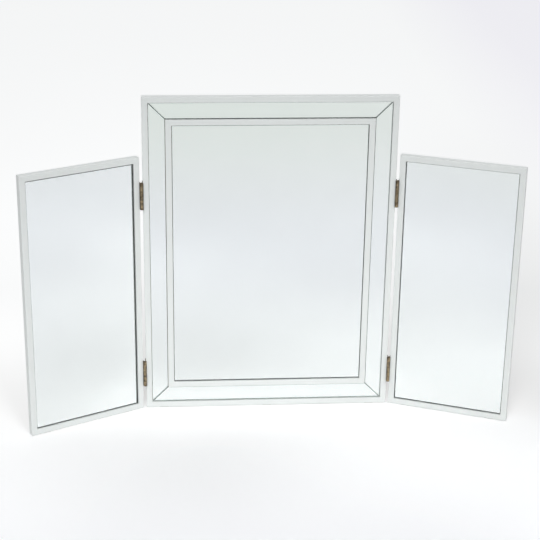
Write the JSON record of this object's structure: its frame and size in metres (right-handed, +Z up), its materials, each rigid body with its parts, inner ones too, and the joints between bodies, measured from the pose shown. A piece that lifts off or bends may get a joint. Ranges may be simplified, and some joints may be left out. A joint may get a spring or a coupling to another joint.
{
  "type": "trifold vanity mirror",
  "caption": "Free-standing trifold dressing-table mirror: a tall centre panel with a mirrored border and painted bead, and lower hinged wings that fold forward over it.",
  "frame": {"origin": "underside of the middle felt pad, below the middle of the centre panel at half the depth of its frame", "axes": "+Z up, +X to the right of someone who faces the mirrors, which look towards -Y"},
  "size_m": [0.8801, 0.1163, 0.601],
  "materials": {
    "white_paint": "satin white paint on timber",
    "mirror_glass": "silvered float glass with a ground arris",
    "hardboard": "bare brown hardboard",
    "foam_tape": "double-sided closed-cell foam tape",
    "steel": "zinc-plated steel",
    "felt": "pressed wool felt",
    "antique_brass": "antique brass, darkened and lacquered"
  },
  "bodies": {
    "centre": {"centre_top_rail": "white_paint", "centre_bottom_rail": "white_paint", "centre_left_stile": "white_paint", "centre_right_stile": "white_paint", "inner_bead_top": "white_paint", "inner_bead_bottom": "white_paint", "inner_bead_left": "white_paint", "inner_bead_right": "white_paint", "border_mirror_top": "mirror_glass", "border_mirror_bottom": "mirror_glass", "border_mirror_left": "mirror_glass", "border_mirror_right": "mirror_glass", "centre_mirror": "mirror_glass", "centre_backboard": "hardboard", "centre_mounting_tape": "foam_tape", "centre_corner_wedges": "steel", "centre_backboard_tabs": "steel", "bead_screws": "steel", "centre_felt_pads": "felt", "centre_hinge_screws": "antique_brass", "left_upper_hinge_fixed_leaf": "antique_brass", "left_upper_hinge_pin": "antique_brass", "left_lower_hinge_fixed_leaf": "antique_brass", "left_lower_hinge_pin": "antique_brass", "right_upper_hinge_fixed_leaf": "antique_brass", "right_upper_hinge_pin": "antique_brass", "right_lower_hinge_fixed_leaf": "antique_brass", "right_lower_hinge_pin": "antique_brass"},
    "left_wing": {"left_wing_top_rail": "white_paint", "left_wing_bottom_rail": "white_paint", "left_wing_hinge_stile": "white_paint", "left_wing_outer_stile": "white_paint", "left_wing_mirror": "mirror_glass", "left_wing_backboard": "hardboard", "left_wing_mounting_tape": "foam_tape", "left_wing_corner_wedges": "steel", "left_wing_backboard_tabs": "steel", "left_wing_felt_pads": "felt", "left_wing_upper_hinge_leaf": "antique_brass", "left_wing_lower_hinge_leaf": "antique_brass", "left_wing_hinge_screws": "antique_brass"},
    "right_wing": {"right_wing_top_rail": "white_paint", "right_wing_bottom_rail": "white_paint", "right_wing_hinge_stile": "white_paint", "right_wing_outer_stile": "white_paint", "right_wing_mirror": "mirror_glass", "right_wing_backboard": "hardboard", "right_wing_mounting_tape": "foam_tape", "right_wing_corner_wedges": "steel", "right_wing_backboard_tabs": "steel", "right_wing_felt_pads": "felt", "right_wing_upper_hinge_leaf": "antique_brass", "right_wing_lower_hinge_leaf": "antique_brass", "right_wing_hinge_screws": "antique_brass"}
  },
  "joints": [
    {"name": "left_wing_fold", "type": "hinge", "parent": "centre", "child": "left_wing", "pos_m": [-0.22775, -0.01, 0.25], "axis": [0, 0, 1], "range_deg": [-27.1, 152.9]},
    {"name": "right_wing_fold", "type": "hinge", "parent": "centre", "child": "right_wing", "pos_m": [0.22775, -0.01, 0.25], "axis": [0, 0, -1], "range_deg": [-22.3, 157.7]}
  ]
}
